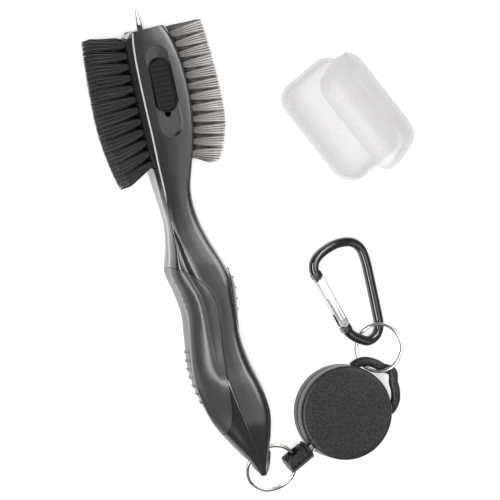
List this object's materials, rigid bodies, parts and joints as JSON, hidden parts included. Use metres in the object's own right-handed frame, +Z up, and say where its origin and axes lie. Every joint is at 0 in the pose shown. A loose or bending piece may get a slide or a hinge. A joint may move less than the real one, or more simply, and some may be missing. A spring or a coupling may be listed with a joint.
{
  "type": "club groove brush",
  "caption": "Two-sided golf club brush with a sliding groove spike, on a retractable cord reel with split rings and a carabiner, and its hinged bristle cover.",
  "frame": {"origin": "on the flat back of the brush's head, which lies on the table, under the middle of the head", "axes": "+Y from the handle's tail to the spike's point, +Z up out of the front with the button, +X towards the grey bristles"},
  "size_m": [0.1292, 0.2137, 0.0403],
  "materials": {
    "shell_plastic": "dark grey moulded plastic with a satin sheen",
    "grip_rubber": "charcoal soft rubber with a fine grain",
    "button_plastic": "near-black moulded plastic",
    "nylon_bristle": "black nylon filaments",
    "wire_bristle": "light grey fine filaments",
    "bright_nickel": "bright nickel plate",
    "spring_steel": "plain rolled spring steel",
    "reel_plastic": "black plastic with a fine leather-like grain",
    "plug_plastic": "black speckled moulded plastic",
    "cord_nylon": "thin black braided nylon cord",
    "black_anodised": "glossy black anodised aluminium",
    "gate_aluminium": "bright natural aluminium",
    "acetal": "natural white acetal",
    "frosted_plastic": "frosted translucent plastic"
  },
  "bodies": {
    "brush": {"front_shell": "shell_plastic", "back_shell": "shell_plastic", "left_grip": "grip_rubber", "right_grip": "grip_rubber", "nylon_block": "shell_plastic", "wire_block": "shell_plastic", "nylon_tuft_row_1": "nylon_bristle", "nylon_tuft_row_2": "nylon_bristle", "nylon_tuft_row_3": "nylon_bristle", "nylon_tuft_row_4": "nylon_bristle", "wire_tuft_row_1": "wire_bristle", "wire_tuft_row_2": "wire_bristle", "wire_tuft_row_3": "wire_bristle", "wire_tuft_row_4": "wire_bristle", "spike_guide": "acetal"},
    "spike_slider": {"groove_spike": "bright_nickel", "slider_carriage": "acetal", "slider_button": "button_plastic", "detent_leaf": "spring_steel"},
    "tail_ring": {"tail_ring": "bright_nickel"},
    "cord_plug": {"cord_plug": "plug_plastic", "plug_collar": "plug_plastic", "cord_lead": "cord_nylon"},
    "reel": {"reel_back_housing": "reel_plastic", "reel_front_cover": "reel_plastic", "reel_axle": "spring_steel", "reel_spring": "spring_steel", "cord_eyelet": "bright_nickel"},
    "spool": {"reel_spool": "acetal", "cord_wound": "cord_nylon"},
    "loop_ring": {"loop_ring": "bright_nickel"},
    "carabiner": {"carabiner_frame": "black_anodised", "gate_pin": "gate_aluminium"},
    "gate": {"carabiner_gate": "gate_aluminium", "gate_spring": "spring_steel"},
    "cover_tray": {"cover_tray": "frosted_plastic", "cover_pin_near": "frosted_plastic", "cover_pin_far": "frosted_plastic"},
    "cover_lid": {"cover_lid": "frosted_plastic"}
  },
  "joints": [
    {"name": "spike_slide", "type": "slide", "parent": "brush", "child": "spike_slider", "axis": [0, 1, 0], "range_m": [-0.0105, 0]},
    {"name": "tail_ring_turn", "type": "hinge", "parent": "brush", "child": "tail_ring", "pos_m": [0.0095, -0.1563, 0.0093], "axis": [0.8521, 0.4581, 0.253], "range_deg": [-60, 60]},
    {"name": "plug_turn", "type": "hinge", "parent": "tail_ring", "child": "cord_plug", "pos_m": [0.02492, -0.16323, 0.00675], "axis": [0.131, -0.9003, -0.4151], "range_deg": [-60, 60]},
    {"name": "cord_pull", "type": "slide", "parent": "cord_plug", "child": "reel", "axis": [0.9063, 0.4226, 0], "range_m": [0, 0.6], "stiffness_N_per_m": 2, "springref_m": -0.5},
    {"name": "spool_turn", "type": "hinge", "parent": "reel", "child": "spool", "pos_m": [0.0497, -0.1487, 0.006], "axis": [0, 0, 1], "range_deg": [-2820, 0]},
    {"name": "loop_ring_turn", "type": "hinge", "parent": "reel", "child": "loop_ring", "pos_m": [0.06805, -0.1355, 0.0081], "axis": [0.8121, -0.132, 0.5684], "range_deg": [-55, 5]},
    {"name": "carabiner_turn", "type": "hinge", "parent": "loop_ring", "child": "carabiner", "pos_m": [0.07268, -0.11642, 0.00611], "axis": [-0.814, 0.135, -0.565], "range_deg": [-10, 60]},
    {"name": "gate_turn", "type": "hinge", "parent": "carabiner", "child": "gate", "pos_m": [0.05726, -0.11195, 0.00769], "axis": [-0.309, 0, -0.9511], "range_deg": [0, 35], "stiffness_Nm_per_rad": 0.06, "springref_deg": -28.65},
    {"name": "cover_lift", "type": "slide", "parent": "brush", "child": "cover_tray", "axis": [0, 0, 1], "range_m": [0, 0.1]},
    {"name": "lid_turn", "type": "hinge", "parent": "cover_tray", "child": "cover_lid", "pos_m": [0.09019, -0.02093, 0.01215], "axis": [-0.4415, 0.8973, 0], "range_deg": [-47, 90]}
  ],
  "couplings": [
    {"joint": "spool_turn", "follows": "cord_pull", "rad_per_m": -82}
  ]
}
